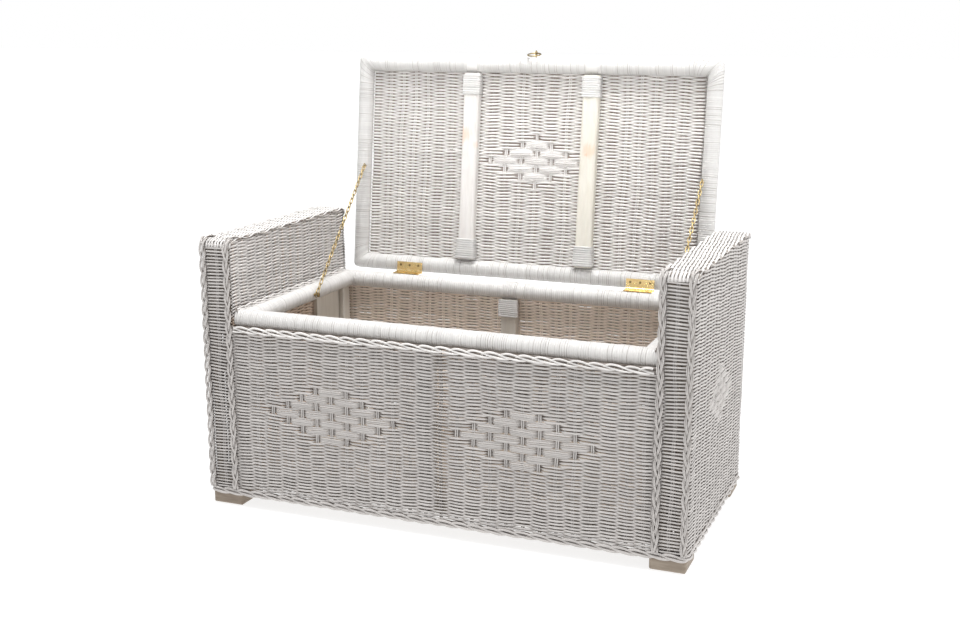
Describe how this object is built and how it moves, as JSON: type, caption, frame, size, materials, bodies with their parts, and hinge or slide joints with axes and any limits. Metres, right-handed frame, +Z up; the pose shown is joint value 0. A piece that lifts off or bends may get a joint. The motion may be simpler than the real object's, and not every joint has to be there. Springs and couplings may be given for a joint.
{
  "type": "wicker storage trunk",
  "caption": "Whitewashed wicker storage bench with hollow box arms, a woven front with diamonds, and a framed lid on brass hinges and chains.",
  "frame": {"origin": "on the floor, under the middle of the trunk's bounding box with its lid open", "axes": "+X along the front to the viewer's right, +Y to the back, +Z up; the front faces -Y"},
  "size_m": [1.114, 0.646, 1.0007],
  "materials": {
    "reed_weave": "whitewashed reed, matt",
    "cane_wrap": "white painted flat cane, satin",
    "painted_wood": "off-white paint, satin, rubbed through in places",
    "bare_wood": "unfinished",
    "brass": "bright brass, lightly tarnished"
  },
  "bodies": {
    "trunk": {"foot_front_left": "painted_wood", "foot_front_right": "painted_wood", "foot_back_left": "painted_wood", "foot_back_right": "painted_wood", "base_rails_long": "bare_wood", "base_rails_side": "bare_wood", "floor_panel": "bare_wood", "arm_posts_left": "bare_wood", "arm_posts_right": "bare_wood", "arm_top_frame_left": "bare_wood", "arm_top_frame_right": "bare_wood", "box_corner_posts": "painted_wood", "side_boards": "painted_wood", "mid_posts": "painted_wood", "rim_strap": "cane_wrap", "rim_pole_front": "cane_wrap", "rim_pole_back": "cane_wrap", "rim_pole_left": "cane_wrap", "rim_pole_right": "cane_wrap", "front_panel": "reed_weave", "back_panel": "reed_weave", "arm_inner_panel_left": "reed_weave", "arm_inner_panel_right": "reed_weave", "arm_outer_panel_left": "reed_weave", "arm_outer_panel_right": "reed_weave", "arm_front_panel_left": "reed_weave", "arm_front_panel_right": "reed_weave", "arm_back_panel_left": "reed_weave", "arm_back_panel_right": "reed_weave", "arm_top_panel_left": "reed_weave", "arm_top_panel_right": "reed_weave", "rim_braid": "reed_weave", "arm_braids_left": "reed_weave", "arm_braids_right": "reed_weave", "borders_long": "reed_weave", "borders_side": "reed_weave", "hinge_rim_leaf_left": "brass", "hinge_rim_leaf_right": "brass", "hinge_pins": "brass", "hinge_screws_rim": "brass", "chain_screws_rim": "brass"},
    "lid": {"lid_pole_front": "cane_wrap", "lid_pole_back": "cane_wrap", "lid_pole_left": "cane_wrap", "lid_pole_right": "cane_wrap", "lid_panel": "reed_weave", "lid_batten_left": "painted_wood", "lid_batten_right": "painted_wood", "batten_bindings": "cane_wrap", "hinge_lid_leaf_left": "brass", "hinge_lid_leaf_right": "brass", "hinge_screws_lid": "brass", "chain_eyes_lid": "brass", "ring_pull_eye": "brass"},
    "chain_lower_left": {"chain_lower_left": "brass"},
    "chain_lower_right": {"chain_lower_right": "brass"},
    "chain_upper_left": {"chain_upper_left": "brass"},
    "chain_upper_right": {"chain_upper_right": "brass"},
    "pull_ring": {"ring_pull_ring": "brass"}
  },
  "joints": [
    {"name": "lid_hinge", "type": "hinge", "parent": "trunk", "child": "lid", "pos_m": [0, 0.225, 0.456], "axis": [1, 0, 0], "range_deg": [0, 96.5]},
    {"name": "pull_swing", "type": "hinge", "parent": "lid", "child": "pull_ring", "pos_m": [0.006, 0.30725, 0.99415], "axis": [1, 0, 0], "range_deg": [-202, 0]},
    {"name": "chain_lower_left_swing", "type": "hinge", "parent": "trunk", "child": "chain_lower_left", "pos_m": [-0.4295, -0.017, 0.434], "axis": [1, 0, 0], "range_deg": [-136.24, 0]},
    {"name": "chain_upper_left_swing", "type": "hinge", "parent": "lid", "child": "chain_upper_left", "pos_m": [-0.4295, 0.25084, 0.71373], "axis": [1, 0, 0], "range_deg": [-52.74, 0]},
    {"name": "chain_lower_right_swing", "type": "hinge", "parent": "trunk", "child": "chain_lower_right", "pos_m": [0.4295, -0.017, 0.434], "axis": [1, 0, 0], "range_deg": [-136.24, 0]},
    {"name": "chain_upper_right_swing", "type": "hinge", "parent": "lid", "child": "chain_upper_right", "pos_m": [0.4295, 0.25084, 0.71373], "axis": [1, 0, 0], "range_deg": [-52.74, 0]}
  ],
  "couplings": [
    {"joint": "chain_lower_left_swing", "follows": "lid_hinge", "ratio": -1.4119},
    {"joint": "chain_upper_left_swing", "follows": "lid_hinge", "ratio": -0.54657},
    {"joint": "chain_lower_right_swing", "follows": "lid_hinge", "ratio": -1.4119},
    {"joint": "chain_upper_right_swing", "follows": "lid_hinge", "ratio": -0.54657}
  ]
}
